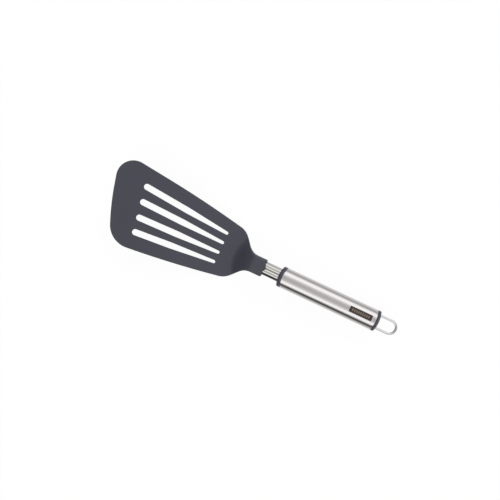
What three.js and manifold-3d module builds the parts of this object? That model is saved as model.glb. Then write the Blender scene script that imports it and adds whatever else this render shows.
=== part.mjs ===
// Grill spatula: a slotted nylon head on a fluted steel shank, held in a round steel handle
// that has a moulded plug at each end and a wire loop to hang it by. Sizes are millimetres.
//
// Every piece is built in the tool frame: the origin is the middle of the handle tube's front
// end, +X runs back along the handle to the hanging loop, +Y runs across the blade and +Z
// points out of the blade's top. At the end the whole tool is tipped onto its heel and its
// end cap, the way it lies on a table.

import * as THREE from 'three';
import { mergeVertices } from 'three/addons/utils/BufferGeometryUtils.js';
import Module from 'manifold-3d';

const wasm = await Module();
wasm.setup();

// ---- driving dimensions ----

const GAP = 0.3; // between pieces that touch or nest

const TUBE_LENGTH = 112;
const TUBE_RADIUS = 11.7;
const TUBE_WALL = 0.8;
const TUBE_BORE = TUBE_RADIUS - TUBE_WALL;
const TRIM_RADIUS = 38; // the tube's ends are cut to this arc, seen from above

const PLUG_RADIUS = TUBE_RADIUS; // both plugs are flush with the tube
const PLUG_EDGE = 1.2; // rounding between a plug's dome and its rim
const SPIGOT_RADIUS = TUBE_BORE - GAP;
const COLLAR_REACH = 5.05; // how far the front plug's dome stands out
const COLLAR_DOME = 27; // dome radius
const COLLAR_SPIGOT = 6;
const CAP_REACH = 4.2;
const CAP_DOME = 31;
const CAP_SPIGOT = 17;

const SHANK_HALF_WIDTH = 7.5; // two round lobes on each face, and bevels down to flat sides
const SHANK_HALF_THICKNESS = 4;
const LOBE_RADIUS = 3.3;
const LOBE_OFFSET = 2.9;
const SHANK_BEVEL = THREE.MathUtils.degToRad(47); // how far a bevel looks up from the side
const SHANK_SHIFT = 0.5; // toward the longer side of the blade
const SHANK_FRONT = -37.9;
const SHANK_BACK = 48;
const PEG_PLACES = [-33.6, -27.6]; // the head's nylon fills these two holes in the shank
const PEG_RADIUS = 1.6;

const CORE_FRONT = COLLAR_SPIGOT + GAP;
const CORE_BACK = 58;
const CORE_WAIST = SPIGOT_RADIUS - 1.2;
const CORE_LAND = 6; // width of each of the three lands that touch the tube
const PIN_PLACE = 38;
const PIN_RADIUS = 1.5;

const WIRE_RADIUS = 1.35;
const LOOP_HALF_WIDTH = 7.35; // to the wire's centre line
const LOOP_CENTRE = 128.5; // centre of the round end
const LOOP_FOOT = 102; // how deep the legs reach into the end cap
const FOOT_BEND = 2.5;
const FOOT_LENGTH = 2.2;

const BADGE_FRONT = 80.8;
const BADGE_LENGTH = 26.4;
const BADGE_WIDTH = 6.8;
const BADGE_SHIFT = 0.7; // round the tube, towards the blade's longer side
const BADGE_THICKNESS = 0.3;
const BADGE_GAP = 0.15;

const SOCKET_BACK = -22.4;
const SOCKET_HALF_WIDTH = 10;
const SOCKET_HALF_HEIGHT = 6.2;
const BORE_FRONT = SHANK_FRONT - GAP;
const HEEL = -63.5; // where the flat blade ends and the neck starts to climb
const NECK_TOP = -34.6; // where the neck meets the straight socket
const NECK_THICK = -38.6; // where the neck reaches the socket's full height
const HEEL_CURL = 0.012; // the neck starts later away from the middle, by this times y squared
const DROP = 23; // from the handle's axis down to the heel
const BLADE_RISE = Math.tan(THREE.MathUtils.degToRad(8));
const HEEL_HALF_THICKNESS = 1.25;
const TIP_HALF_THICKNESS = 0.6;
const TIP = -216.9;
const RIDGE_FLAT = 2; // the neck's thick middle is flat to here and thins out to RIDGE_EDGE
const RIDGE_EDGE = 16;

// The blade's outline: corners in order, each with the radius that rounds it off.
const SHOULDER = [-60.5, 29.2, 21];
const FLANK_FOOT = [-41.8, SOCKET_HALF_WIDTH, 18.3];
const LONG_SIDE_BEND = [-119.8, 40.2, 1220];
const LONG_CORNER = [-222.8, 52, 19.3];
const FRONT_BEND = [-208.6, -6.5, 300];
const SHORT_CORNER = [-192.3, -46.5, 26.5];
const SHORT_SIDE_BEND = [-119.8, -39.7, 1220];
const SOCKET_CORNER = 1.5;

const SLOT_BACK = -76.6;
const SLOT_BACK_RADIUS = 1.75;
const SLOT_FRONT_RADIUS = 3.45;
const SLOT_TAPER_END = -128; // the slots keep their full width in front of this
const SLOTS = [
  { front: -183.2, backY: 17.1, slope: 0.093 },
  { front: -180.1, backY: 5.6, slope: 0.038 },
  { front: -176.9, backY: -6.2, slope: -0.02 },
  { front: -174.3, backY: -17.7, slope: -0.075 },
];

// ---- solids ----

function solidOf(geometry) {
  geometry.deleteAttribute('normal');
  geometry.deleteAttribute('uv');
  const merged = mergeVertices(geometry, 1e-4);
  const index = merged.index.array;
  const kept = [];
  for (let i = 0; i < index.length; i += 3) {
    const [a, b, c] = index.slice(i, i + 3);
    if (a !== b && b !== c && c !== a) kept.push(a, b, c);
  }
  return new wasm.Manifold(new wasm.Mesh({
    numProp: 3,
    vertProperties: new Float32Array(merged.attributes.position.array),
    triVerts: new Uint32Array(kept),
  }));
}

function geometryOf(solid) {
  const mesh = solid.getMesh();
  const geometry = new THREE.BufferGeometry();
  geometry.setAttribute('position', new THREE.BufferAttribute(mesh.vertProperties, 3));
  geometry.setIndex(new THREE.BufferAttribute(mesh.triVerts, 1));
  const faceted = geometry.toNonIndexed();
  faceted.computeVertexNormals();
  return faceted;
}

// A shape drawn across the handle, in Y and Z, and pulled along X.
function alongX(shape, from, to, curveSegments = 24) {
  const geometry = new THREE.ExtrudeGeometry(shape, { depth: to - from, bevelEnabled: false, curveSegments });
  const axes = new THREE.Matrix4().makeBasis(
    new THREE.Vector3(0, 1, 0),
    new THREE.Vector3(0, 0, 1),
    new THREE.Vector3(1, 0, 0),
  );
  return solidOf(geometry.applyMatrix4(axes).translate(from, 0, 0));
}

// A shape drawn from above, in X and Y, and pulled along Z.
function alongZ(shape, from, to, curveSegments = 24) {
  const geometry = new THREE.ExtrudeGeometry(shape, { depth: to - from, bevelEnabled: false, curveSegments });
  return solidOf(geometry.translate(0, 0, from));
}

// A profile of [x, radius] points, turned about the handle's axis.
function turned(profile, segments = 44) {
  const points = profile.map(([x, radius]) => new THREE.Vector2(radius, x));
  return solidOf(new THREE.LatheGeometry(points, segments).rotateZ(-Math.PI / 2));
}

function discShape(radius, x = 0, y = 0) {
  return new THREE.Shape().absarc(x, y, radius, 0, 2 * Math.PI);
}

// ---- outlines ----

// A closed shape through corners [x, y, radius], each rounded by an arc tangent to both sides.
function roundedShape(corners) {
  const shape = new THREE.Shape();
  corners.forEach(([x, y, radius], i) => {
    const corner = new THREE.Vector2(x, y);
    const before = new THREE.Vector2(...corners.at(i - 1).slice(0, 2)).sub(corner).normalize();
    const after = new THREE.Vector2(...corners[(i + 1) % corners.length].slice(0, 2)).sub(corner).normalize();
    const halfAngle = Math.acos(before.dot(after)) / 2;
    const centre = before.clone().add(after).normalize().multiplyScalar(radius / Math.sin(halfAngle)).add(corner);
    const start = before.multiplyScalar(radius / Math.tan(halfAngle)).add(corner).sub(centre);
    const end = after.multiplyScalar(radius / Math.tan(halfAngle)).add(corner).sub(centre);
    shape.absarc(centre.x, centre.y, radius, start.angle(), end.angle(), start.cross(end) < 0);
  });
  return shape;
}

function mirrored([x, y, radius]) {
  return [x, -y, radius];
}

function headOutline() {
  const socketCorner = [SOCKET_BACK, SOCKET_HALF_WIDTH, SOCKET_CORNER];
  return roundedShape([
    socketCorner,
    FLANK_FOOT,
    SHOULDER,
    LONG_SIDE_BEND,
    LONG_CORNER,
    FRONT_BEND,
    SHORT_CORNER,
    SHORT_SIDE_BEND,
    mirrored(SHOULDER),
    mirrored(FLANK_FOOT),
    mirrored(socketCorner),
  ]);
}

// A slot is full width at the front, then narrows to its back end. Both ends are round.
function slotOutline({ front, backY, slope }) {
  const lean = Math.atan(slope);
  const middle = (x) => backY + slope * (SLOT_BACK - x);
  const frontCentre = front + SLOT_FRONT_RADIUS;
  const backCentre = SLOT_BACK - SLOT_BACK_RADIUS;
  const shape = new THREE.Shape();
  shape.absarc(frontCentre, middle(frontCentre), SLOT_FRONT_RADIUS, Math.PI / 2 - lean, 1.5 * Math.PI - lean);
  shape.lineTo(SLOT_TAPER_END, middle(SLOT_TAPER_END) - SLOT_FRONT_RADIUS);
  shape.absarc(backCentre, middle(backCentre), SLOT_BACK_RADIUS, -Math.PI / 2 - lean, Math.PI / 2 - lean);
  shape.lineTo(SLOT_TAPER_END, middle(SLOT_TAPER_END) + SLOT_FRONT_RADIUS);
  return shape;
}

// The shank's section: on each face two round lobes with a groove between them, then a bevel to
// each flat side.
function flutedShape(grow = 0) {
  const radius = LOBE_RADIUS + grow;
  const halfWidth = SHANK_HALF_WIDTH + grow;
  const raised = SHANK_HALF_THICKNESS - LOBE_RADIUS;
  const groove = Math.acos(-LOBE_OFFSET / radius);
  const overhang = (halfWidth - LOBE_OFFSET) * Math.cos(SHANK_BEVEL);
  const corner = raised + (radius - overhang) / Math.sin(SHANK_BEVEL);
  const left = SHANK_SHIFT - LOBE_OFFSET;
  const right = SHANK_SHIFT + LOBE_OFFSET;
  const shape = new THREE.Shape();
  shape.moveTo(SHANK_SHIFT + halfWidth, corner);
  shape.absarc(right, raised, radius, SHANK_BEVEL, groove);
  shape.absarc(left, raised, radius, Math.PI - groove, Math.PI - SHANK_BEVEL);
  shape.lineTo(SHANK_SHIFT - halfWidth, corner);
  shape.lineTo(SHANK_SHIFT - halfWidth, -corner);
  shape.absarc(left, -raised, radius, Math.PI + SHANK_BEVEL, Math.PI + groove);
  shape.absarc(right, -raised, radius, -groove, -SHANK_BEVEL);
  shape.lineTo(SHANK_SHIFT + halfWidth, -corner);
  return shape;
}

// The handle tube seen from above: square sides and two arc-cut ends.
function barrelPlan(grow = 0) {
  const half = Math.asin((PLUG_RADIUS + 1) / TRIM_RADIUS);
  const shape = new THREE.Shape();
  shape.absarc(TRIM_RADIUS, 0, TRIM_RADIUS + grow, Math.PI - half, Math.PI + half);
  shape.absarc(TUBE_LENGTH - TRIM_RADIUS, 0, TRIM_RADIUS + grow, -half, half);
  return shape;
}

// ---- head ----

function ease(t) {
  const clamped = THREE.MathUtils.clamp(t, 0, 1);
  return clamped * clamped * (3 - 2 * clamped);
}

// Height of the head's middle surface: the flat blade, bending up into the socket.
function middleHeight(x, y) {
  const start = HEEL + HEEL_CURL * y * y;
  const bladeHeight = -DROP + (HEEL - x) * BLADE_RISE;
  return start < NECK_TOP ? bladeHeight * (1 - ease((x - start) / (NECK_TOP - start))) : bladeHeight;
}

// Half the head's height: a thin plate that thickens through the neck into the socket.
function halfThickness(x, y) {
  const alongBlade = THREE.MathUtils.clamp((x - TIP) / (HEEL - TIP), 0, 1);
  const plate = THREE.MathUtils.lerp(TIP_HALF_THICKNESS, HEEL_HALF_THICKNESS, alongBlade);
  const outward = THREE.MathUtils.clamp((Math.abs(y) - RIDGE_FLAT) / (RIDGE_EDGE - RIDGE_FLAT), 0, 1);
  const ridge = ease((x - HEEL) / (NECK_THICK - HEEL)) * Math.sqrt(1 - outward * outward);
  return plate + (SOCKET_HALF_HEIGHT - plate) * ridge;
}

// A slab with the head's top and bottom surfaces, wider than the head, to be cut to outline.
function headSlab() {
  const across = [0, 2, 4.5, 7, 9.5, 12, 14, 15.3, 16, 22, 28, 60];
  const rows = [...across.slice(1).reverse().map((y) => -y), ...across];
  const stations = [TIP - 12];
  for (let x = HEEL; x < NECK_TOP; x += 2.5) stations.push(x);
  stations.push(NECK_TOP, SOCKET_BACK + 4);
  const loops = stations.map((x) => [
    ...rows.map((y) => [x, y, middleHeight(x, y) - halfThickness(x, y)]),
    ...rows.toReversed().map((y) => [x, y, middleHeight(x, y) + halfThickness(x, y)]),
  ]);
  return lofted(loops);
}

// A closed solid through loops of points, each end closed by a fan about its middle.
function lofted(loops) {
  const count = loops[0].length;
  const position = loops.flat(2);
  const index = [];
  for (let i = 0; i + 1 < loops.length; i++) {
    for (let j = 0; j < count; j++) {
      const [a, b] = [i * count + j, i * count + ((j + 1) % count)];
      index.push(a, b, a + count, b, b + count, a + count);
    }
  }
  const centreOf = (loop) => [0, 1, 2].map((k) => loop.reduce((sum, point) => sum + point[k], 0) / count);
  const first = loops.length * count;
  const lastLoop = (loops.length - 1) * count;
  position.push(...centreOf(loops[0]), ...centreOf(loops.at(-1)));
  for (let j = 0; j < count; j++) {
    const next = (j + 1) % count;
    index.push(first, next, j, first + 1, lastLoop + j, lastLoop + next);
  }
  const geometry = new THREE.BufferGeometry();
  geometry.setAttribute('position', new THREE.Float32BufferAttribute(position, 3));
  geometry.setIndex(index);
  return solidOf(geometry);
}

function makeHead() {
  const reach = 60;
  let head = headSlab().intersect(alongZ(headOutline(), -reach, reach, 10));
  for (const slot of SLOTS) {
    head = head.subtract(alongZ(slotOutline(slot), -reach, reach, 5));
  }
  head = head.subtract(alongX(flutedShape(GAP), BORE_FRONT, SOCKET_BACK + 1, 8));
  for (const place of PEG_PLACES) {
    head = head.add(alongZ(discShape(PEG_RADIUS, place), -SOCKET_HALF_HEIGHT + 1, SOCKET_HALF_HEIGHT - 1, 8));
  }
  return head;
}

// ---- steel pieces ----

function makeShank() {
  let shank = alongX(flutedShape(), SHANK_FRONT, SHANK_BACK, 8);
  const holes = [...PEG_PLACES.map((x) => [x, PEG_RADIUS]), [PIN_PLACE, PIN_RADIUS]];
  for (const [x, radius] of holes) {
    shank = shank.subtract(alongZ(discShape(radius + GAP, x), -SOCKET_HALF_HEIGHT, SOCKET_HALF_HEIGHT, 8));
  }
  return shank;
}

function makeTube() {
  const ring = discShape(TUBE_RADIUS);
  ring.holes.push(discShape(TUBE_BORE));
  return alongX(ring, -1, TUBE_LENGTH + 1, 22).intersect(alongZ(barrelPlan(), -20, 20, 6));
}

function makeCorePin() {
  return alongZ(discShape(PIN_RADIUS, PIN_PLACE), -SPIGOT_RADIUS + GAP, SPIGOT_RADIUS - GAP, 8);
}

class Arc extends THREE.Curve {
  constructor(x, y, radius, from, to) {
    super();
    Object.assign(this, { x, y, radius, from, to });
  }

  getPoint(t) {
    const angle = THREE.MathUtils.lerp(this.from, this.to, t);
    return new THREE.Vector3(this.x + this.radius * Math.cos(angle), this.y + this.radius * Math.sin(angle), 0);
  }
}

// The loop's wire: a foot turned inward, a leg, the round end, and back the same way.
function makeLoop(grow = 0) {
  const inner = LOOP_HALF_WIDTH - FOOT_BEND;
  const footEnd = inner - FOOT_LENGTH - grow;
  const bendX = LOOP_FOOT + FOOT_BEND;
  const at = (x, y) => new THREE.Vector3(x, y, 0);
  const path = new THREE.CurvePath();
  path.add(new THREE.LineCurve3(at(LOOP_FOOT, -footEnd), at(LOOP_FOOT, -inner)));
  path.add(new Arc(bendX, -inner, FOOT_BEND, -Math.PI, -Math.PI / 2));
  path.add(new THREE.LineCurve3(at(bendX, -LOOP_HALF_WIDTH), at(LOOP_CENTRE, -LOOP_HALF_WIDTH)));
  path.add(new Arc(LOOP_CENTRE, 0, LOOP_HALF_WIDTH, -Math.PI / 2, Math.PI / 2));
  path.add(new THREE.LineCurve3(at(LOOP_CENTRE, LOOP_HALF_WIDTH), at(bendX, LOOP_HALF_WIDTH)));
  path.add(new Arc(bendX, inner, FOOT_BEND, Math.PI / 2, Math.PI));
  path.add(new THREE.LineCurve3(at(LOOP_FOOT, inner), at(LOOP_FOOT, footEnd)));
  return solidOf(new THREE.ExtrudeGeometry(discShape(WIRE_RADIUS + grow), {
    extrudePath: path,
    steps: 64,
    curveSegments: 5,
  }));
}

// ---- moulded pieces ----

// One plug's dome and rim as a turned solid: its face at x = face, domed towards -X if sign is -1.
function plugHead(face, sign, domeRadius) {
  const rimRadius = PLUG_RADIUS - PLUG_EDGE;
  const slope = Math.asin(rimRadius / (domeRadius - PLUG_EDGE));
  const rimDepth = domeRadius - (domeRadius - PLUG_EDGE) * Math.cos(slope);
  const profile = [];
  for (let i = 0; i < 5; i++) {
    const angle = (slope * i) / 5;
    profile.push([domeRadius * (1 - Math.cos(angle)), domeRadius * Math.sin(angle)]);
  }
  for (let i = 0; i <= 3; i++) {
    const angle = THREE.MathUtils.lerp(slope, Math.PI / 2, i / 3);
    profile.push([rimDepth - PLUG_EDGE * Math.cos(angle), rimRadius + PLUG_EDGE * Math.sin(angle)]);
  }
  profile.push([9, PLUG_RADIUS], [9, 0]);
  const placed = profile.map(([depth, radius]) => [face - sign * depth, radius]);
  return turned(sign < 0 ? placed : placed.reverse());
}

function spigot(from, to) {
  return alongX(discShape(SPIGOT_RADIUS), from, to, 22);
}

function makeCollar() {
  return plugHead(-COLLAR_REACH, -1, COLLAR_DOME)
    .subtract(alongZ(barrelPlan(GAP), -20, 20, 6))
    .add(spigot(-2, COLLAR_SPIGOT))
    .subtract(alongX(flutedShape(GAP), -COLLAR_REACH - 1, COLLAR_SPIGOT + 1, 8));
}

function makeEndCap() {
  return plugHead(TUBE_LENGTH + CAP_REACH, 1, CAP_DOME)
    .subtract(alongZ(barrelPlan(GAP), -20, 20, 6))
    .add(spigot(TUBE_LENGTH - CAP_SPIGOT, TUBE_LENGTH + 2))
    .subtract(makeLoop(GAP));
}

function makeCore() {
  const span = (CORE_BACK - CORE_FRONT - CORE_LAND) / 2;
  const profile = [[CORE_FRONT, 0]];
  for (let land = 0; land < 3; land++) {
    const start = CORE_FRONT + land * span;
    if (land > 0) profile.push([start, CORE_WAIST]);
    profile.push([start, SPIGOT_RADIUS], [start + CORE_LAND, SPIGOT_RADIUS]);
    if (land < 2) profile.push([start + CORE_LAND, CORE_WAIST]);
  }
  profile.push([CORE_BACK, 0]);
  return turned(profile)
    .subtract(alongX(flutedShape(GAP), CORE_FRONT - 1, CORE_BACK + 1, 8))
    .subtract(alongZ(discShape(PIN_RADIUS + GAP, PIN_PLACE), -20, 20, 8));
}

function makeBadge() {
  const inner = TUBE_RADIUS + BADGE_GAP;
  const outer = inner + BADGE_THICKNESS;
  const half = BADGE_WIDTH / 2 / outer;
  const middle = Math.PI / 2 - BADGE_SHIFT / outer;
  const shape = new THREE.Shape();
  shape.absarc(0, 0, outer, middle - half, middle + half);
  shape.absarc(0, 0, inner, middle + half, middle - half, true);
  return alongX(shape, BADGE_FRONT, BADGE_FRONT + BADGE_LENGTH, 8);
}

// ---- assembly ----

const NYLON = { color: 0x4d4f58, roughness: 0.55, metalness: 0 };
const PLUG_PLASTIC = { color: 0x4f4f58, roughness: 0.45, metalness: 0 };
const CORE_PLASTIC = { color: 0xd8d6cf, roughness: 0.6, metalness: 0 };
const BRUSHED_STEEL = { color: 0xc9c8c6, roughness: 0.3, metalness: 1 };
const BRIGHT_STEEL = { color: 0xdcdcdc, roughness: 0.12, metalness: 1 };
const BADGE_FILM = { color: 0x3c2d28, roughness: 0.4, metalness: 0 };

function named(name, solid, look) {
  const mesh = new THREE.Mesh(geometryOf(solid), new THREE.MeshStandardMaterial(look));
  mesh.name = name;
  return mesh;
}

// Lowest point of a mesh once the tool is tipped by pitch about the handle's cross axis.
function lowest(mesh, pitch) {
  const position = mesh.geometry.attributes.position;
  let low = Infinity;
  for (let i = 0; i < position.count; i++) {
    low = Math.min(low, position.getZ(i) * Math.cos(pitch) - position.getX(i) * Math.sin(pitch));
  }
  return low;
}

// The pitch at which the heel and the end cap touch the table together.
function restingPitch(head, cap) {
  let [level, steep] = [0, THREE.MathUtils.degToRad(20)];
  for (let i = 0; i < 40; i++) {
    const middle = (level + steep) / 2;
    if (lowest(head, middle) < lowest(cap, middle)) level = middle;
    else steep = middle;
  }
  return level;
}

const tool = new THREE.Group();
const head = named('head', makeHead(), NYLON);
const endCap = named('end_cap', makeEndCap(), PLUG_PLASTIC);
tool.add(
  head,
  named('shank', makeShank(), BRUSHED_STEEL),
  named('front_collar', makeCollar(), PLUG_PLASTIC),
  named('handle_core', makeCore(), CORE_PLASTIC),
  named('core_pin', makeCorePin(), BRIGHT_STEEL),
  named('handle_tube', makeTube(), BRUSHED_STEEL),
  endCap,
  named('hanging_loop', makeLoop(), BRIGHT_STEEL),
  named('badge', makeBadge(), BADGE_FILM),
);
tool.rotation.y = restingPitch(head, endCap);

// The part's origin is the middle of its footprint, on the table.
const extent = new THREE.Box3().setFromObject(tool, true);
const middle = extent.getCenter(new THREE.Vector3());
tool.position.set(-middle.x, -middle.y, -extent.min.z);

const spatula = new THREE.Group();
spatula.add(tool);

export default spatula;
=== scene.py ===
"""A grill spatula: a slotted nylon head, a fluted steel shank and a round brushed steel handle.

Every piece is shaped in the tool frame, in millimetres: the origin is the middle of the handle
tube's front end, +X runs back along the handle, +Y runs across the blade and +Z points out of
the blade's top. TO_WORLD then lays the piece into the CAD frame.
"""

import math

import bmesh
import bpy
from mathutils import Matrix, Vector
from mathutils.geometry import delaunay_2d_cdt
from mathutils.kdtree import KDTree


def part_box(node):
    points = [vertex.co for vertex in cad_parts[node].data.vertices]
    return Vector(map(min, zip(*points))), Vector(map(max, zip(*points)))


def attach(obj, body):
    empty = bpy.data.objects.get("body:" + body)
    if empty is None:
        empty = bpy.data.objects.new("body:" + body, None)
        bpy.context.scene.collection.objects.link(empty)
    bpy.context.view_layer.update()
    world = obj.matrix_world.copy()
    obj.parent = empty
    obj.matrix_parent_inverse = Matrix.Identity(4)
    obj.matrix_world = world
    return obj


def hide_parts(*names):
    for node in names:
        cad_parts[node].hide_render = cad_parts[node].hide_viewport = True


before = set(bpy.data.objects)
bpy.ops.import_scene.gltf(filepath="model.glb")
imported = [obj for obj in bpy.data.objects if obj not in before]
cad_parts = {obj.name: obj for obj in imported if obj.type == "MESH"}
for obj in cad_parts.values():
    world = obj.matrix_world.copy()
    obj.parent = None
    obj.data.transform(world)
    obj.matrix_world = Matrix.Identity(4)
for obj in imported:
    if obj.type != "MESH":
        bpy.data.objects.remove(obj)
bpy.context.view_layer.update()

# ---- the tool frame, from the CAD boxes ----

MM = 0.001


def middle_of(node):
    low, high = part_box(node)
    return (low + high) / 2


def size_of(node):
    low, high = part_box(node)
    return (high - low) / MM


# Seen from the side, the shank's and the tube's boxes are both centred on the handle's axis.
from_shank = middle_of("handle_tube") - middle_of("shank")
AXIS = Vector((from_shank.x, 0, from_shank.z)).normalized()
ACROSS = Vector((0, 1, 0))
UP = AXIS.cross(ACROSS)
TUBE_RADIUS = size_of("handle_tube").y / 2
TUBE_LENGTH = (size_of("handle_tube").x + 2 * TUBE_RADIUS * AXIS.z) / AXIS.x
ORIGIN = middle_of("handle_tube") - AXIS * TUBE_LENGTH * MM / 2
TURN = Matrix((AXIS, ACROSS, UP)).transposed().to_4x4()
TO_WORLD = Matrix.Translation(ORIGIN) @ TURN @ Matrix.Scale(MM, 4)

# ---- sizes, in millimetres ----

FIT = 0.12  # between a moulded piece and the steel it holds
TRIM_RADIUS = 38  # the tube's ends are cut to this arc, seen from above
TUBE_WALL = 0.8
LIP = 0.22  # rounding of the tube's cut edges

PLUG_RADIUS = TUBE_RADIUS
PLUG_EDGE = 1.2
SPIGOT_RADIUS = TUBE_RADIUS - TUBE_WALL - FIT
COLLAR_REACH = 5.05
COLLAR_DOME = 27
COLLAR_SPIGOT = 6
CAP_REACH = 4.2
CAP_DOME = 31
CAP_SPIGOT = 17
SPIGOT_CHAMFER = 0.5

LOBE_RADIUS = 3.3
LOBE_OFFSET = 2.9
SHANK_BEVEL = math.radians(47)  # how far a bevel looks up from the side
SHANK_SHIFT = 0.5  # toward the longer side of the blade
SHANK_HALF_WIDTH = 7.5
SHANK_HALF_THICKNESS = 4
GROOVE_SOFTNESS = 0.05
SHANK_FRONT = -37.9
SHANK_BACK = 48
SHANK_CHAMFER = 0.4

WIRE_RADIUS = 1.35
LOOP_HALF_WIDTH = size_of("hanging_loop").y / 2 - WIRE_RADIUS
LOOP_CENTRE = 128.5
LOOP_FOOT = 102
FOOT_BEND = 2.5
FOOT_LENGTH = 2.2

BADGE_LENGTH = 26.4
BADGE_FRONT = 80.8
BADGE_WIDTH = 6.8
BADGE_SHIFT = 0.7  # round the tube, towards the blade's longer side
BADGE_CORNER = 0.7
BADGE_THICKNESS = 0.2
BADGE_LIFT = 0.02  # its underside stands this far off the tube
BADGE_INK = (0.03, 0.018, 0.014)
BADGE_PALE_INK = (0.045, 0.028, 0.022)
BAR_INK = (0.26, 0.2, 0.155)
BAR_SPACING = 2.4
BAR_MARGIN = 2.4  # plain film at each end of the row of bars
BAR_HALF_HEIGHT = 1.35

SOCKET_BACK = -22.4
SOCKET_HALF_WIDTH = 10
SOCKET_HALF_HEIGHT = 6.2
HEEL = -63.5
NECK_TOP = -34.6
NECK_THICK = -38.6
HEEL_CURL = 0.012
DROP = 23
BLADE_RISE = math.tan(math.radians(8))
HEEL_HALF_THICKNESS = 1.25
TIP_HALF_THICKNESS = 0.6
TIP = -216.9
RIDGE_FLAT = 2
RIDGE_EDGE = 16

# The blade's outline: corners in order, each with the radius that rounds it off.
SHOULDER = (-60.5, 29.2, 21)
FLANK_FOOT = (-41.8, SOCKET_HALF_WIDTH, 18.3)
LONG_SIDE_BEND = (-119.8, 40.2, 1220)
LONG_CORNER = (-222.8, 52, 19.3)
FRONT_BEND = (-208.6, -6.5, 300)
SHORT_CORNER = (-192.3, -46.5, 26.5)
SHORT_SIDE_BEND = (-119.8, -39.7, 1220)
SOCKET_CORNER = (SOCKET_BACK, SOCKET_HALF_WIDTH, 1.5)

SLOT_BACK = -76.6
SLOT_BACK_RADIUS = 1.75
SLOT_FRONT_RADIUS = 3.45
SLOT_TAPER_END = -128
SLOTS = (
    (-183.2, 17.1, 0.093),  # front end, Y at the back end, slope
    (-180.1, 5.6, 0.038),
    (-176.9, -6.2, -0.02),
    (-174.3, -17.7, -0.075),
)

BLADE_EDGE = 0.9  # rounding of the blade's rim
SLOT_EDGE = 0.5
SOCKET_EDGE = 2.4
SOCKET_BACK_EDGE = 0.8
ROUNDING_STEPS = 4
RIM_BAND = 0.35  # the flat band between a rim's rounding and the inner mesh
EDGE_WIDENS = (-47, 9)  # the head's rounding grows to the socket's from this X, over this length
EDGE_NARROWS = (-26, 3.5)  # and falls to the socket's open end
LATTICE_CHANGE = -75  # the head's mesh is fine behind this X and coarse in front of it
LATTICE_REACH = 45
NECK_SPACING = 1.1
BLADE_SPACING = 5

CREASE = math.radians(40)  # edges sharper than this stay crisp
ROUND_SEGMENTS = 112
SHANK_SEGMENTS = 128
WIRE_SIDES = 20

# ---- small maths ----


def clamp(value):
    return max(0.0, min(1.0, value))


def ease(t):
    t = clamp(t)
    return t * t * (3 - 2 * t)


def mix(a, b, t):
    return a + (b - a) * t


def arc_points(centre, radius, start, sweep, step):
    """Points along an arc, both ends included, no further apart than step or seven degrees."""
    count = max(2, math.ceil(abs(sweep) * radius / step), math.ceil(abs(sweep) / math.radians(7)))
    angles = [start + sweep * i / count for i in range(count + 1)]
    return [Vector((centre[0] + radius * math.cos(a), centre[1] + radius * math.sin(a))) for a in angles]


def filled(points, step):
    """The same closed loop with long straight stretches cut up into steps."""
    out = []
    for a, b in zip(points, points[1:] + points[:1]):
        count = max(1, math.ceil((b - a).length / step))
        out += [a.lerp(b, i / count) for i in range(count)]
    return out


def without_repeats(points):
    kept = []
    for point in points:
        if not kept or (point - kept[-1]).length > 1e-4:
            kept.append(point)
    if (kept[0] - kept[-1]).length < 1e-4:
        kept.pop()
    return kept


def rounded_loop(corners, step):
    """A closed loop through corners (x, y, radius), each rounded by an arc tangent to both sides."""
    points = []
    for i, (x, y, radius) in enumerate(corners):
        corner = Vector((x, y))
        before = (Vector(corners[i - 1][:2]) - corner).normalized()
        after = (Vector(corners[(i + 1) % len(corners)][:2]) - corner).normalized()
        half = before.angle(after) / 2
        centre = corner + (before + after).normalized() * radius / math.sin(half)
        start = corner + before * radius / math.tan(half) - centre
        end = corner + after * radius / math.tan(half) - centre
        sweep = math.atan2(start.x * end.y - start.y * end.x, start.dot(end))
        points += arc_points(centre, radius, math.atan2(start.y, start.x), sweep, step)
    return filled(without_repeats(points), step)


def normals_of(loop):
    """The left-hand normal at each point of a closed loop."""
    result = []
    for i, point in enumerate(loop):
        before = (point - loop[i - 1]).normalized()
        after = (loop[(i + 1) % len(loop)] - point).normalized()
        along = (before + after).normalized()
        result.append(Vector((-along.y, along.x)))
    return result


def inside(point, loop):
    hit = False
    for a, b in zip(loop, loop[1:] + loop[:1]):
        if (a.y > point.y) != (b.y > point.y):
            if point.x < a.x + (b.x - a.x) * (point.y - a.y) / (b.y - a.y):
                hit = not hit
    return hit


# ---- meshes ----


def make_piece(name, points, faces, material, weights=None):
    """A smooth-shaded object from tool-frame points. weights says how much each is part of a rim."""
    mesh = bpy.data.meshes.new(name)
    mesh.from_pydata([TO_WORLD @ Vector(p) for p in points], [], faces)
    if weights:
        rim = mesh.attributes.new("rim", "FLOAT", "POINT")
        rim.data.foreach_set("value", weights)
    piece = bpy.data.objects.new(name, mesh)
    bpy.context.scene.collection.objects.link(piece)
    finish_mesh(piece)
    mesh.materials.append(material)
    return piece


def finish_mesh(piece):
    work = bmesh.new()
    work.from_mesh(piece.data)
    bmesh.ops.recalc_face_normals(work, faces=work.faces)
    for face in work.faces:
        face.smooth = True
    for edge in work.edges:
        edge.smooth = len(edge.link_faces) == 2 and edge.calc_face_angle(0) < CREASE
    work.to_mesh(piece.data)
    work.free()


def stands_for(piece, node):
    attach(piece, "root")
    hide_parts(node)


def cut_away(piece, cutter):
    """Subtracts the cutter from the piece and drops the cutter."""
    modifier = piece.modifiers.new("cut", "BOOLEAN")
    modifier.operation = "DIFFERENCE"
    modifier.solver = "EXACT"
    modifier.object = cutter
    result = bpy.data.meshes.new_from_object(piece.evaluated_get(bpy.context.evaluated_depsgraph_get()))
    piece.modifiers.clear()
    piece.data = result
    bpy.data.objects.remove(cutter)
    finish_mesh(piece)


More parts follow.
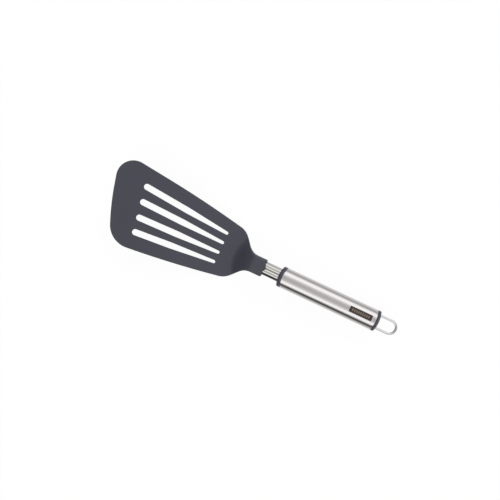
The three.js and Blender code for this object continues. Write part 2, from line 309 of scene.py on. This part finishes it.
def grid_faces(rows, columns, close_rows=False):
    """Quads of a grid stored row by row whose columns go right round."""
    faces = []
    for i in range(rows if close_rows else rows - 1):
        for j in range(columns):
            k = (j + 1) % columns
            m = (i + 1) % rows
            faces.append((i * columns + j, i * columns + k, m * columns + k, m * columns + j))
    return faces


def tube_faces(rows, columns):
    """The faces of a grid that goes right round, with its first and last rows capped."""
    first = tuple(range(columns))
    last = tuple(range((rows - 1) * columns, rows * columns))
    return grid_faces(rows, columns) + [first, last]


def plate(outline, holes, top, bottom, edge, lattice):
    """A closed plate between two height surfaces, cut to an outline with holes, every rim rounded.

    Returns the points, the faces, and for each point how much it belongs to a rim.
    """
    rims = [(outline, 1, edge)] + [(hole, -1, lambda x, y: min(SLOT_EDGE, edge(x, y))) for hole in holes]
    parts = ([], [], [])
    inner_rings = [add_rim(loop, side, radius_at, top, bottom, parts) for loop, side, radius_at in rims]
    add_middle(inner_rings, top, bottom, lattice, parts)
    return parts


def add_rim(loop, side, radius_at, top, bottom, parts):
    """Adds a rounded rim along a loop to a plate's points, faces and weights.

    Returns where its innermost rings start, on top and below, and how many points each has.
    """
    points, faces, weights = parts
    quarter = [math.pi / 2 * k / ROUNDING_STEPS for k in range(ROUNDING_STEPS + 1)]
    radii = [radius_at(*p) for p in loop]
    inward = [n * side for n in normals_of(loop)]
    rings = [[(r * (1 - math.cos(a)), r * (1 - math.sin(a))) for r in radii] for a in quarter]
    rings.append([(r + RIM_BAND, 0.0) for r in radii])
    ring_weights = [math.cos(a) for a in quarter] + [0.0]
    start = len(points)
    for surface, sign in ((top, -1), (bottom, 1)):
        for ring, weight in zip(rings, ring_weights):
            for p, n, (inset, drop) in zip(loop, inward, ring):
                q = p + n * inset
                points.append((q.x, q.y, surface(q.x, q.y) + sign * drop))
                weights.append(weight)
    count = len(loop)
    low = start + len(rings) * count
    for base in (start, low):
        faces += [tuple(base + v for v in f) for f in grid_faces(len(rings), count)]
    for j in range(count):
        k = (j + 1) % count
        faces.append((start + j, low + j, low + k, start + k))
    inner = (len(rings) - 1) * count
    return start + inner, low + inner, count


def add_middle(inner_rings, top, bottom, lattice, parts):
    """Fills a plate's top and underside between its rims' innermost rings, through the lattice."""
    points, faces, weights = parts
    top_index = []
    low_index = []
    edges = []
    loops = []
    for top_start, low_start, count in inner_rings:
        offset = len(top_index)
        edges += [(offset + j, offset + (j + 1) % count) for j in range(count)]
        top_index += range(top_start, top_start + count)
        low_index += range(low_start, low_start + count)
        loops.append([Vector(points[i][:2]) for i in top_index[offset:]])
    flat = [point for loop in loops for point in loop]
    near = KDTree(len(flat))
    for i, p in enumerate(flat):
        near.insert((p.x, p.y, 0), i)
    near.balance()

    def is_solid(point):
        return inside(point, loops[0]) and not any(inside(point, hole) for hole in loops[1:])

    for p, spacing in lattice:
        if near.find((p.x, p.y, 0))[2] > spacing * 0.6 and is_solid(p):
            flat.append(p)
            for surface, index in ((top, top_index), (bottom, low_index)):
                index.append(len(points))
                points.append((p.x, p.y, surface(p.x, p.y)))
                weights.append(0.0)
    _, _, triangles, *_ = delaunay_2d_cdt(flat, edges, [], 0, 1e-5)
    for a, b, c in triangles:
        if is_solid((flat[a] + flat[b] + flat[c]) / 3):
            faces.append((top_index[a], top_index[b], top_index[c]))
            faces.append((low_index[c], low_index[b], low_index[a]))


# ---- the head ----


def middle_height(x, y):
    """The head's middle surface: the flat blade, bending up into the socket."""
    start = min(HEEL + HEEL_CURL * y * y, NECK_TOP - 1)
    blade = -DROP + (HEEL - x) * BLADE_RISE
    return blade * (1 - ease((x - start) / (NECK_TOP - start)))


def half_thickness(x, y):
    """A thin plate that thickens through the neck into the socket."""
    plate_half = mix(TIP_HALF_THICKNESS, HEEL_HALF_THICKNESS, clamp((x - TIP) / (HEEL - TIP)))
    outward = clamp((abs(y) - RIDGE_FLAT) / (RIDGE_EDGE - RIDGE_FLAT))
    ridge = ease((x - HEEL) / (NECK_THICK - HEEL)) * math.sqrt(1 - outward * outward)
    return mix(plate_half, SOCKET_HALF_HEIGHT, ridge)


def head_top(x, y):
    return middle_height(x, y) + half_thickness(x, y)


def head_bottom(x, y):
    return middle_height(x, y) - half_thickness(x, y)


def head_edge(x, y):
    """Rounding of the head's rim: small on the blade, wide on the socket, small at its open end."""
    wide = mix(BLADE_EDGE, SOCKET_EDGE, ease((x - EDGE_WIDENS[0]) / EDGE_WIDENS[1]))
    edge = mix(wide, SOCKET_BACK_EDGE, ease((x - EDGE_NARROWS[0]) / EDGE_NARROWS[1]))
    return min(edge, 0.9 * half_thickness(x, y))


def mirrored(corner):
    return (corner[0], -corner[1], corner[2])


def head_outline():
    neck = [SOCKET_CORNER, FLANK_FOOT, SHOULDER]
    blade = [LONG_SIDE_BEND, LONG_CORNER, FRONT_BEND, SHORT_CORNER, SHORT_SIDE_BEND]
    return rounded_loop(neck + blade + [mirrored(corner) for corner in reversed(neck)], 1.1)


def slot_outline(front, back_y, slope):
    lean = math.atan(slope)

    def middle(x):
        return back_y + slope * (SLOT_BACK - x)

    front_x = front + SLOT_FRONT_RADIUS
    back_x = SLOT_BACK - SLOT_BACK_RADIUS
    taper_y = middle(SLOT_TAPER_END)
    points = arc_points((front_x, middle(front_x)), SLOT_FRONT_RADIUS, math.pi / 2 - lean, math.pi, 0.6)
    points.append(Vector((SLOT_TAPER_END, taper_y - SLOT_FRONT_RADIUS)))
    points += arc_points((back_x, middle(back_x)), SLOT_BACK_RADIUS, -math.pi / 2 - lean, math.pi, 0.6)
    points.append(Vector((SLOT_TAPER_END, taper_y + SLOT_FRONT_RADIUS)))
    return filled(without_repeats(points), 3)


def head_lattice():
    """Inner points: close together over the neck, wide apart over the flat blade."""
    result = []
    neck = (LATTICE_CHANGE, SOCKET_BACK, NECK_SPACING)
    blade = (TIP - 4, LATTICE_CHANGE, BLADE_SPACING)
    for low, high, spacing in (neck, blade):
        rows = int((high - low) / spacing)
        columns = int(LATTICE_REACH / spacing)
        for i in range(rows):
            for j in range(-columns, columns + 1):
                shift = 0.5 * (i % 2)
                result.append((Vector((low + (i + 0.5) * spacing, (j + shift) * spacing)), spacing))
    return result


def make_head(material):
    holes = [slot_outline(*slot) for slot in SLOTS]
    points, faces, weights = plate(head_outline(), holes, head_top, head_bottom, head_edge, head_lattice())
    head = make_piece("nylon_head", points, faces, material, weights)
    cut_away(head, bar("bore", fluted(FIT), SHANK_FRONT - FIT, SOCKET_BACK + 3, 0, material))
    stands_for(head, "head")


# ---- the shank ----


def fluted(grow=0.0):
    """The shank's section: on each face two lobes and a groove, then a bevel to each side."""
    section = []
    for i in range(SHANK_SEGMENTS):
        angle = 2 * math.pi * (i + 0.5) / SHANK_SEGMENTS
        reach = bar_reach(angle, grow)
        section.append((SHANK_SHIFT + reach * math.cos(angle), reach * math.sin(angle)))
    return section


def bar_reach(angle, grow):
    """Distance from the shank's own axis to its surface, at an angle from the +Y side."""
    sideways = math.sqrt(math.cos(angle) ** 2 + GROOVE_SOFTNESS**2)
    upward = abs(math.sin(angle))
    raised = SHANK_HALF_THICKNESS - LOBE_RADIUS
    radius = LOBE_RADIUS + grow
    bevel_y = math.cos(SHANK_BEVEL)
    bevel_z = math.sin(SHANK_BEVEL)
    if upward * (LOBE_OFFSET + radius * bevel_y) > sideways * (raised + radius * bevel_z):
        along = LOBE_OFFSET * sideways + raised * upward
        return along + math.sqrt(along**2 + radius**2 - LOBE_OFFSET**2 - raised**2)
    bevel = (radius + LOBE_OFFSET * bevel_y + raised * bevel_z) / (sideways * bevel_y + upward * bevel_z)
    return min(bevel, (SHANK_HALF_WIDTH + grow) / sideways)


def bar(name, section, front, back, chamfer, material):
    """A section pulled along X, with chamfered ends."""
    stations = [(front, chamfer), (front + chamfer, 0), (back - chamfer, 0), (back, chamfer)]
    if not chamfer:
        stations = [(front, 0), (back, 0)]
    points = []
    for x, inset in stations:
        for y, z in section:
            scale = 1 - inset / math.hypot(y, z)
            points.append((x, y * scale, z * scale))
    return make_piece(name, points, tube_faces(len(stations), len(section)), material)


def make_shank(material):
    shank = bar("steel_shank", fluted(), SHANK_FRONT, SHANK_BACK, SHANK_CHAMFER, material)
    stands_for(shank, "shank")


# ---- the handle ----


def trim(y):
    """How far the tube's arc-cut end falls back at Y."""
    return TRIM_RADIUS - math.sqrt(TRIM_RADIUS**2 - y * y)


def turned_grid(profile_at):
    """Points and rows of a grid whose columns go round the handle. profile_at(angle) lists (x, radius)."""
    angles = [2 * math.pi * j / ROUND_SEGMENTS for j in range(ROUND_SEGMENTS)]
    columns = [profile_at(angle) for angle in angles]
    rows = len(columns[0])
    points = []
    for i in range(rows):
        for angle, column in zip(angles, columns):
            x, radius = column[i]
            points.append((x, radius * math.sin(angle), radius * math.cos(angle)))
    return points, rows


def tube_profile(angle):
    """Round the tube's wall: over its front edge, back along its outside and through its bore."""
    sideways = math.sin(angle)
    inner = TUBE_RADIUS - TUBE_WALL
    turn = [math.radians(a) for a in (0, 30, 60, 90)]
    end = [(LIP * (1 - math.sin(a)), inner + LIP * (1 - math.cos(a))) for a in turn]
    end += [(LIP * (1 - math.cos(a)), TUBE_RADIUS - LIP * (1 - math.sin(a))) for a in turn]
    front = [(trim(radius * sideways) + x, radius) for x, radius in end]
    back = [(TUBE_LENGTH - x, radius) for x, radius in reversed(front)]
    outside = [(mix(front[-1][0], back[0][0], t), TUBE_RADIUS) for t in (0.01, 0.25, 0.5, 0.75, 0.99)]
    bore = [(x, inner) for x, _ in reversed(outside)]
    return front + outside + back + bore


def make_tube(material):
    points, rows = turned_grid(tube_profile)
    tube = make_piece("brushed_tube", points, grid_faces(rows, ROUND_SEGMENTS, close_rows=True), material)
    stands_for(tube, "handle_tube")


def plug_rim(angle, dome_radius, reach):
    """A plug's outside from the dome's edge to its spigot, as (distance behind the face, radius).

    The rim turns from the dome to the plug's side on an arc tangent to both, and the side ends
    where the tube's arc-cut end starts.
    """
    middle = PLUG_RADIUS - PLUG_EDGE
    slope = math.asin(middle / (dome_radius - PLUG_EDGE))
    depth = dome_radius - (dome_radius - PLUG_EDGE) * math.cos(slope)
    turn = [mix(slope, math.pi / 2, t) for t in (0.2, 0.4, 0.6, 0.8, 1)]
    profile = [(depth - PLUG_EDGE * math.cos(a), middle + PLUG_EDGE * math.sin(a)) for a in turn]
    seat = reach + trim(TUBE_RADIUS * math.sin(angle)) - FIT
    lip = LIP * 0.3
    profile += [(seat - LIP, PLUG_RADIUS), (seat - lip, PLUG_RADIUS - lip), (seat, PLUG_RADIUS - LIP)]
    profile.append((seat, SPIGOT_RADIUS))
    return dome_radius * math.sin(slope), profile


def plug_profile(angle, dome_radius, reach, spigot):
    """A plug's outside, from near its dome's middle to its spigot's end.

    It is a list of (distance behind the face, radius).
    """
    edge, rim = plug_rim(angle, dome_radius, reach)
    profile = []
    for share in (0.04, 0.15, 0.3, 0.45, 0.6, 0.75, 0.88, 0.96, 1):
        radius = edge * share
        profile.append((dome_radius - math.sqrt(dome_radius**2 - radius**2), radius))
    back = reach + spigot
    end = [(back - SPIGOT_CHAMFER, SPIGOT_RADIUS), (back, SPIGOT_RADIUS - SPIGOT_CHAMFER)]
    return profile + rim + end + [(back, SPIGOT_RADIUS * 0.5)]


def plug(name, place, dome_radius, reach, spigot, material):
    """A solid plug. place(depth) gives X at a distance behind the plug's face."""

    def placed_profile(angle):
        return [(place(depth), radius) for depth, radius in plug_profile(angle, dome_radius, reach, spigot)]

    points, rows = turned_grid(placed_profile)
    return make_piece(name, points, tube_faces(rows, ROUND_SEGMENTS), material)


def make_collar(material):
    face = -COLLAR_REACH
    collar = plug("front_plug", lambda x: face + x, COLLAR_DOME, COLLAR_REACH, COLLAR_SPIGOT, material)
    cut_away(collar, bar("shank_hole", fluted(FIT), face - 1, COLLAR_SPIGOT + 1, 0, material))
    stands_for(collar, "front_collar")


def make_cap(material):
    face = TUBE_LENGTH + CAP_REACH
    cap = plug("end_plug", lambda x: face - x, CAP_DOME, CAP_REACH, CAP_SPIGOT, material)
    cut_away(cap, wire("leg_holes", WIRE_RADIUS + FIT, material, foot=FIT))
    stands_for(cap, "end_cap")


# ---- the hanging loop ----


def loop_path(foot):
    """The wire's centre line: a foot turned inward, a leg, the round end, and back the same way."""
    inner = LOOP_HALF_WIDTH - FOOT_BEND
    bend_x = LOOP_FOOT + FOOT_BEND
    quarter = math.pi / 2
    path = [Vector((LOOP_FOOT, -inner + FOOT_LENGTH + foot))]
    path += arc_points((bend_x, -inner), FOOT_BEND, -2 * quarter, quarter, 0.5)
    path += arc_points((LOOP_CENTRE, 0), LOOP_HALF_WIDTH, -quarter, 2 * quarter, 0.6)
    path += arc_points((bend_x, inner), FOOT_BEND, quarter, quarter, 0.5)
    path.append(Vector((LOOP_FOOT, inner - FOOT_LENGTH - foot)))
    return path


def wire(name, radius, material, foot=0.0):
    """The bent wire as a solid. foot lengthens its turned-in feet."""
    path = loop_path(foot)
    points = []
    for i, p in enumerate(path):
        along = (path[min(i + 1, len(path) - 1)] - path[max(i - 1, 0)]).normalized()
        out = Vector((along.y, -along.x))
        for k in range(WIRE_SIDES):
            angle = 2 * math.pi * k / WIRE_SIDES
            q = p + out * radius * math.cos(angle)
            points.append((q.x, q.y, radius * math.sin(angle)))
    return make_piece(name, points, tube_faces(len(path), WIRE_SIDES), material)


def make_loop(material):
    stands_for(wire("wire_loop", WIRE_RADIUS, material), "hanging_loop")


# ---- the badge ----


def make_badge(material):
    """A thin plate with rounded corners, bent onto the tube."""
    half = BADGE_WIDTH / 2
    back = BADGE_FRONT + BADGE_LENGTH
    corners = [(back, -half), (back, half), (BADGE_FRONT, half), (BADGE_FRONT, -half)]
    outline = rounded_loop([(x, y, BADGE_CORNER) for x, y in corners], 0.8)
    lattice = []
    for i in range(1, int(BADGE_LENGTH)):
        for j in range(1, int(BADGE_WIDTH)):
            lattice.append((Vector((BADGE_FRONT + i, -half + j)), 1.0))

    def top(x, y):
        return BADGE_THICKNESS

    def bottom(x, y):
        return BADGE_LIFT

    def edge(x, y):
        return BADGE_THICKNESS * 0.45

    points, faces, weights = plate(outline, [], top, bottom, edge, lattice)
    bent = []
    for x, y, z in points:
        radius = TUBE_RADIUS + z
        angle = (y + BADGE_SHIFT) / TUBE_RADIUS
        bent.append((x, radius * math.sin(angle), radius * math.cos(angle)))
    badge = make_piece("plain_badge", bent, faces, material, weights)
    stands_for(badge, "badge")


# ---- materials ----


class Nodes:
    """A short way to build a material's node tree."""

    def __init__(self, name, base, roughness, metallic=0.0):
        self.material = bpy.data.materials.new(name)
        self.material.use_nodes = True
        self.tree = self.material.node_tree
        self.shader = self.tree.nodes["Principled BSDF"]
        self.shader.inputs["Base Color"].default_value = (*base, 1)
        self.shader.inputs["Roughness"].default_value = roughness
        self.shader.inputs["Metallic"].default_value = metallic

    def add(self, kind, **settings):
        node = self.tree.nodes.new("ShaderNode" + kind)
        for key, value in settings.items():
            setattr(node, key, value)
        return node

    def link(self, source, target):
        self.tree.links.new(source, target)

    def tool_place(self, scale):
        """The shaded point in the tool frame. scale is in units per millimetre along X, Y and Z."""
        place = self.add("TexCoord")
        turn = self.add("Mapping", vector_type="TEXTURE")
        turn.inputs["Location"].default_value = ORIGIN
        turn.inputs["Rotation"].default_value = TURN.to_euler()
        stretch = self.add("VectorMath", operation="MULTIPLY")
        stretch.inputs[1].default_value = [s / MM for s in scale]
        self.link(place.outputs["Object"], turn.inputs["Vector"])
        self.link(turn.outputs["Vector"], stretch.inputs[0])
        return stretch.outputs["Vector"]

    def tool_axes(self):
        """The shaded point's X, Y and Z in the tool frame, in millimetres."""
        split = self.add("SeparateXYZ")
        self.link(self.tool_place((1, 1, 1)), split.inputs["Vector"])
        return split.outputs

    def calculate(self, operation, value, other=0.0):
        """One sum on a socket and a number or a second socket."""
        node = self.add("Math", operation=operation)
        self.link(value, node.inputs[0])
        if isinstance(other, float):
            node.inputs[1].default_value = other
        else:
            self.link(other, node.inputs[1])
        return node.outputs["Value"]

    def grain(self, scale, detail=2.0, roughness=0.5):
        """Noise over the tool frame. scale is in cycles per millimetre along X, Y and Z."""
        noise = self.add("TexNoise")
        noise.inputs["Scale"].default_value = 1
        noise.inputs["Detail"].default_value = detail
        noise.inputs["Roughness"].default_value = roughness
        self.link(self.tool_place(scale), noise.inputs["Vector"])
        return noise.outputs["Fac"]

    def spread(self, value, low, high, from_low=0.3, from_high=0.7):
        """Maps a value's middle range to low..high."""
        node = self.add("MapRange")
        node.inputs["From Min"].default_value = from_low
        node.inputs["From Max"].default_value = from_high
        node.inputs["To Min"].default_value = low
        node.inputs["To Max"].default_value = high
        self.link(value, node.inputs["Value"])
        return node.outputs["Result"]

    def blend(self, factor, a, b, mode="MIX"):
        """Colour b over colour a by the factor. Each is a colour or a socket."""
        node = self.add("Mix", data_type="RGBA", blend_type=mode)
        colour_sockets = [s for s in node.inputs if s.type == "RGBA"]
        for socket, value in zip(colour_sockets, (a, b)):
            if isinstance(value, tuple):
                socket.default_value = (*value, 1)
            else:
                self.link(value, socket)
        self.link(factor, node.inputs["Factor"])
        return [s for s in node.outputs if s.type == "RGBA"][0]

    def bump(self, heights):
        """Adds up bumps, each (height socket, depth in millimetres)."""
        normal = None
        for height, depth in heights:
            node = self.add("Bump")
            node.inputs["Distance"].default_value = depth * MM
            self.link(height, node.inputs["Height"])
            if normal:
                self.link(normal, node.inputs["Normal"])
            normal = node.outputs["Normal"]
        self.link(normal, self.shader.inputs["Normal"])

    def paint(self, colour):
        self.link(colour, self.shader.inputs["Base Color"])

    def polish(self, roughness):
        self.link(roughness, self.shader.inputs["Roughness"])


TIP_SHADE_RANGE = (-180, -85)  # X where the blade's painted shade is full, and where it has gone


def moulded_material(name, colour, pale, roughness, tip_painted_shade=None):
    """Satin moulded nylon: eroded mould texture, faint clouding and slightly paler rims, a painted
    highlight.

    The last argument, if given, is painted shade that darkens the blade gradually towards its front edge.
    """
    n = Nodes(name, colour, roughness)
    n.shader.inputs["Specular IOR Level"].default_value = 0.45
    cloud = n.grain((0.04, 0.06, 0.06), 3)
    speck = n.grain((2.2, 2.2, 2.2), 2)
    rim = n.add("Attribute", attribute_name="rim")
    clouded = n.blend(n.spread(cloud, 0, 0.5), colour, pale)
    # Painted highlight: the rounded rims are painted paler than the flat faces.
    colour_with_painted_light = n.blend(n.spread(rim.outputs["Fac"], 0, 0.35, 0, 1), clouded, tuple(c * 1.5 for c in pale))
    # Painted shade: the blade's colour darkens towards its front edge, where less light falls.
    if tip_painted_shade:
        colour_with_painted_light = n.blend(n.spread(n.tool_axes()["X"], 1, 0, *TIP_SHADE_RANGE), colour_with_painted_light, tip_painted_shade, "MULTIPLY")
    n.paint(colour_with_painted_light)
    n.polish(n.spread(n.grain((0.3, 0.5, 0.5), 3), roughness - 0.05, roughness + 0.06))
    n.bump([(speck, 0.012), (n.grain((0.5, 0.5, 0.5), 2), 0.015)])
    return n.material


def brushed_material(name, colour, roughness, grain_scale, line_depth, anisotropy=0.0, turn=0.0):
    """Stainless steel with fine lines that run along the grain's least scale."""
    n = Nodes(name, colour, roughness, 1)
    lines = n.grain(grain_scale, 3, 0.6)
    broad = n.grain(tuple(s * 0.12 for s in grain_scale), 2)
    dull = tuple(c * 0.93 for c in colour)
    bright = tuple(min(1, c * 1.05) for c in colour)
    n.paint(n.blend(n.spread(lines, 0, 1), dull, bright))
    n.polish(n.spread(broad, roughness - 0.03, roughness + 0.04))
    n.bump([(lines, line_depth)])
    if anisotropy:
        n.shader.inputs["Anisotropic"].default_value = anisotropy
        n.shader.inputs["Anisotropic Rotation"].default_value = turn
        tangent = n.add("Tangent", direction_type="RADIAL", axis="X")
        n.link(tangent.outputs["Tangent"], n.shader.inputs["Tangent"])
    return n.material


def badge_material():
    """A dark printed film with a row of plain, evenly spaced pale bars along its middle."""
    n = Nodes("badge_film", BADGE_INK, 0.35)
    place = n.tool_axes()
    from_front = n.calculate("SUBTRACT", place["X"], BADGE_FRONT + BAR_MARGIN)
    phase = n.calculate("PINGPONG", from_front, BAR_SPACING / 2)
    bars = n.spread(phase, 0, 1, BAR_SPACING * 0.17, BAR_SPACING * 0.27)
    from_middle = n.calculate("ABSOLUTE", n.calculate("SUBTRACT", place["Y"], BADGE_SHIFT))
    row = n.spread(from_middle, 1, 0, BAR_HALF_HEIGHT - 0.1, BAR_HALF_HEIGHT + 0.1)
    past_front = n.calculate("GREATER_THAN", from_front, 0.0)
    before_back = n.calculate("LESS_THAN", from_front, BADGE_LENGTH - 2 * BAR_MARGIN)
    within = n.calculate("MULTIPLY", past_front, before_back)
    printed = n.calculate("MULTIPLY", n.calculate("MULTIPLY", bars, row), within)
    film = n.blend(n.spread(n.grain((1, 3, 3), 2), 0, 1), BADGE_INK, BADGE_PALE_INK)
    n.paint(n.blend(printed, film, BAR_INK))
    n.polish(n.spread(n.grain((0.8, 2, 2), 2), 0.3, 0.4))
    n.bump([(n.grain((3, 3, 3), 2), 0.003)])
    return n.material


# ---- build ----

SLATE = (0.0645, 0.065, 0.086)
PALE_SLATE = (0.072, 0.0725, 0.0965)
PLUG_GREY = (0.062, 0.06, 0.086)
PALE_PLUG_GREY = (0.074, 0.071, 0.098)

# The slate nylon's last colour is painted shade that darkens the blade towards its tip.
NYLON = moulded_material("slate_nylon", SLATE, PALE_SLATE, 0.5, tip_painted_shade=(0.87, 0.905, 0.925))
PLUG_PLASTIC = moulded_material("plug_plastic", PLUG_GREY, PALE_PLUG_GREY, 0.42)
CORE_PLASTIC = moulded_material("core_plastic", (0.62, 0.6, 0.53), (0.7, 0.68, 0.6), 0.5)
HANDLE_STEEL = brushed_material(
    "brushed_steel", (0.64, 0.62, 0.617), 0.22, (7, 0.05, 0.05), 0.004, anisotropy=0.75, turn=0.25
)
SHANK_STEEL = brushed_material("drawn_steel", (0.58, 0.57, 0.545), 0.09, (0.05, 5, 5), 0.002)
LOOP_STEEL = brushed_material("polished_wire", (0.7, 0.7, 0.7), 0.1, (0.3, 3, 3), 0.001)
PIN_STEEL = brushed_material("pin_steel", (0.55, 0.55, 0.55), 0.3, (4, 4, 0.1), 0.003)
BADGE_FILM = badge_material()

make_head(NYLON)
make_shank(SHANK_STEEL)
make_collar(PLUG_PLASTIC)
make_tube(HANDLE_STEEL)
make_cap(PLUG_PLASTIC)
make_loop(LOOP_STEEL)
make_badge(BADGE_FILM)
for node, material in (("handle_core", CORE_PLASTIC), ("core_pin", PIN_STEEL)):
    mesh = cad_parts[node].data
    mesh.materials.clear()
    mesh.materials.append(material)

# ---- stage ----

PICTURE_TURN = math.radians(25.06)  # the handle runs down to the right by this
CAMERA_HEIGHT = 1300  # above the handle's axis
CAMERA_SIDE = 50  # towards the blade's longer side
LENS = 85.3
AIM = Vector((-45.14, 11.76, 0))  # tool-frame point in the middle of the picture
FLOOR_SIDE = 6.0  # metres
FLOOR_DROP = 0.0002  # metres below the table plane, clear of the tool's lowest points
FLOOR_GLOW = 0.945


def make_floor():
    bpy.ops.mesh.primitive_grid_add(
        x_subdivisions=8, y_subdivisions=8, size=FLOOR_SIDE, location=(0, 0, -FLOOR_DROP)
    )
    floor = bpy.context.object
    floor.name = "floor"
    n = Nodes("pale_floor", (0.07, 0.07, 0.07), 0.6)
    n.shader.inputs["Emission Color"].default_value = (1, 1, 1, 1)
    n.shader.inputs["Emission Strength"].default_value = FLOOR_GLOW
    n.shader.inputs["Specular IOR Level"].default_value = 0.0
    floor.data.materials.append(n.material)
    floor.visible_glossy = False


def make_camera():
    place = TO_WORLD @ Vector((TUBE_LENGTH / 2, CAMERA_SIDE, CAMERA_HEIGHT))
    target = TO_WORLD @ AIM
    forward = (target - place).normalized()
    along = (AXIS - forward * AXIS.dot(forward)).normalized()
    beside = along.cross(forward)
    if beside.dot(ACROSS) < 0:
        beside = -beside
    right = along * math.cos(PICTURE_TURN) + beside * math.sin(PICTURE_TURN)
    up = beside * math.cos(PICTURE_TURN) - along * math.sin(PICTURE_TURN)
    data = bpy.data.cameras.new("camera")
    data.lens = LENS
    data.clip_end = 50
    camera = bpy.data.objects.new("camera", data)
    bpy.context.scene.collection.objects.link(camera)
    camera.matrix_world = Matrix.Translation(place) @ Matrix((right, up, -forward)).transposed().to_4x4()
    bpy.context.scene.camera = camera


# The studio: brightness by angle from straight up, towards the blade's shorter side (negative)
# and its longer side (positive). A dim ceiling lies between two long soft boxes, and dark flags
# stand between the boxes and the pale table. Beyond the two ends of the tool it is dimmer.
SKY = (
    (-180, 0.95),
    (-140, 0.95),
    (-118, 0.7),
    (-104, 0.32),
    (-92, 0.06),
    (-81, 0.04),
    (-72, 0.38),
    (-60, 1.42),
    (-48, 1.7),
    (-34, 1.1),
    (-18, 0.72),
    (0, 0.62),
    (18, 0.7),
    (32, 0.95),
    (44, 1.45),
    (58, 1.6),
    (72, 1.3),
    (86, 0.6),
    (98, 0.38),
    (112, 0.75),
    (135, 0.95),
    (180, 0.95),
)


TIP_WALL = (-0.9, -0.3, 0.12, 1)  # from and to this much of X, and the brightness at each
LOOP_WALL = (0.4, 0.8, 1, 0.5)


def make_studio():
    world = bpy.data.worlds.new("studio")
    bpy.context.scene.world = world
    world.use_nodes = True
    tree = world.node_tree
    tree.nodes.clear()

    def add(kind, **settings):
        node = tree.nodes.new("ShaderNode" + kind)
        for key, value in settings.items():
            setattr(node, key, value)
        return node

    def map_range(limits, **settings):
        node = add("MapRange", **settings)
        for name, value in zip(("From Min", "From Max", "To Min", "To Max"), limits):
            node.inputs[name].default_value = value
        return node

    place = add("TexCoord")
    split = add("SeparateXYZ")
    angle = add("Math", operation="ARCTAN2")
    share = map_range((-math.pi, math.pi, 0, 1))
    ramp = add("ValToRGB")
    ramp.color_ramp.interpolation = "B_SPLINE"
    peak = max(level for _, level in SKY)
    stops = ramp.color_ramp.elements
    while len(stops) > 1:
        stops.remove(stops[-1])
    for i, (degrees, level) in enumerate(SKY):
        position = (degrees + 180) / 360
        stop = stops[0] if i == 0 else stops.new(position)
        stop.position = position
        stop.color = (level / peak, level / peak, level / peak, 1)
    lamp = add("Background")
    lamp.inputs["Strength"].default_value = peak
    backdrop = add("Background")
    backdrop.inputs["Color"].default_value = (1, 1, 1, 1)
    seen = add("LightPath")
    either = add("MixShader")
    tip_wall = map_range(TIP_WALL, interpolation_type="SMOOTHSTEP")
    loop_wall = map_range(LOOP_WALL, interpolation_type="SMOOTHSTEP")
    walls = add("Math", operation="MULTIPLY")
    level = add("VectorMath", operation="SCALE")
    out = add("OutputWorld")
    link = tree.links.new
    link(place.outputs["Generated"], split.inputs["Vector"])
    link(split.outputs["Y"], angle.inputs[0])
    link(split.outputs["Z"], angle.inputs[1])
    link(angle.outputs["Value"], share.inputs["Value"])
    link(share.outputs["Result"], ramp.inputs["Fac"])
    link(split.outputs["X"], tip_wall.inputs["Value"])
    link(split.outputs["X"], loop_wall.inputs["Value"])
    link(tip_wall.outputs["Result"], walls.inputs[0])
    link(loop_wall.outputs["Result"], walls.inputs[1])
    link(ramp.outputs["Color"], level.inputs[0])
    link(walls.outputs["Value"], level.inputs["Scale"])
    link(level.outputs["Vector"], lamp.inputs["Color"])
    link(seen.outputs["Is Camera Ray"], either.inputs["Fac"])
    link(lamp.outputs["Background"], either.inputs[1])
    link(backdrop.outputs["Background"], either.inputs[2])
    link(either.outputs["Shader"], out.inputs["Surface"])


make_floor()
make_camera()
make_studio()
bpy.context.scene.view_settings.view_transform = "Standard"
